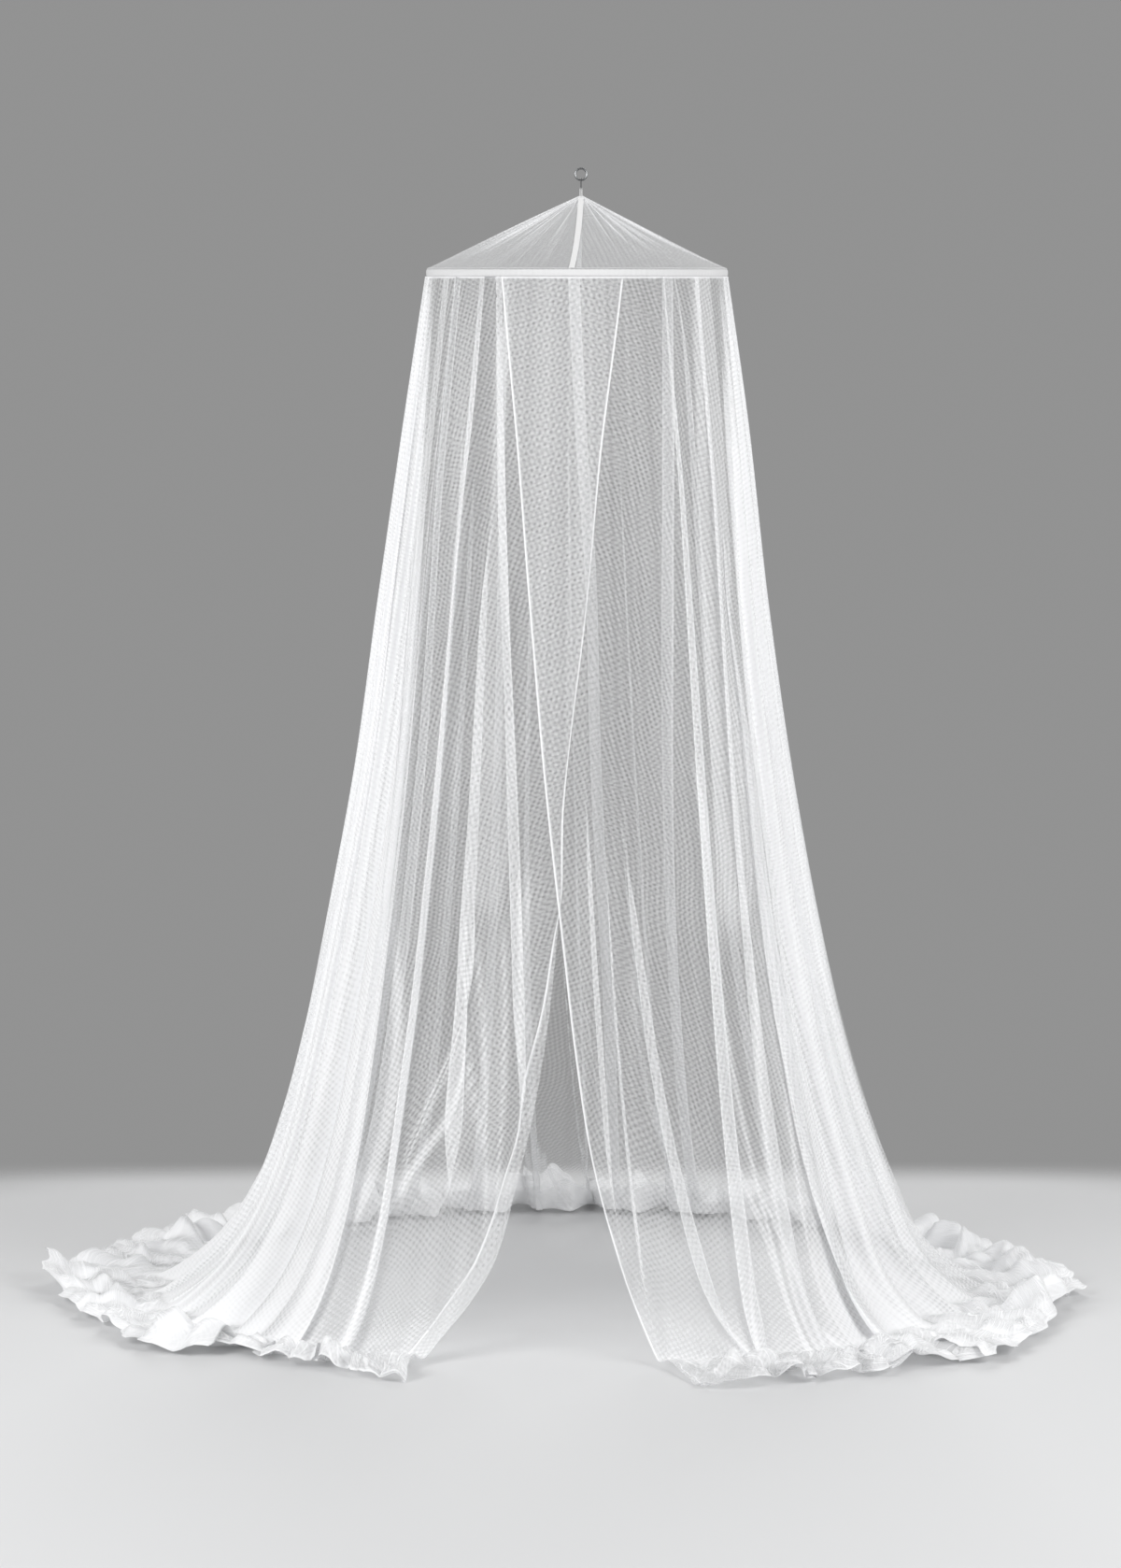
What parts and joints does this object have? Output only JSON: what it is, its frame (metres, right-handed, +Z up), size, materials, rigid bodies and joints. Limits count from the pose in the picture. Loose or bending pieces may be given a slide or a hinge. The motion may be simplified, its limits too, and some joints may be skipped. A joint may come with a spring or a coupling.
{
  "type": "mosquito net with hoop",
  "caption": "Round hanging mosquito net: ring and tape loop, shallow net cone, hoop in a sewn casing, and a long sheer skirt open at the front that trails on the floor.",
  "frame": {"origin": "point inside the top of the ring that bears on the ceiling hook", "axes": "+Z up; the front opening faces -Y; +X to the right as seen from the front"},
  "size_m": [2.1479, 1.6379, 2.299],
  "materials": {
    "ring_steel": "bright round wire",
    "link_steel": "bright thin wire",
    "loop_tape": "woven white tape",
    "cone_net": "sheer white net",
    "cone_tape": "woven white tape",
    "hoop_rod": "plain white rod",
    "casing_cloth": "folded white cloth",
    "skirt_net": "sheer white net",
    "back_tape": "doubled white net"
  },
  "bodies": {
    "root": {"hanging_ring": "ring_steel", "hanging_link": "link_steel", "hanging_loop": "loop_tape", "cone_net_left": "cone_net", "cone_net_right": "cone_net", "cone_front_tape": "cone_tape", "cone_back_tape": "cone_tape", "hoop": "hoop_rod", "hoop_casing": "casing_cloth", "skirt_left": "skirt_net", "skirt_right": "skirt_net", "skirt_back_tape": "back_tape"}
  },
  "joints": []
}
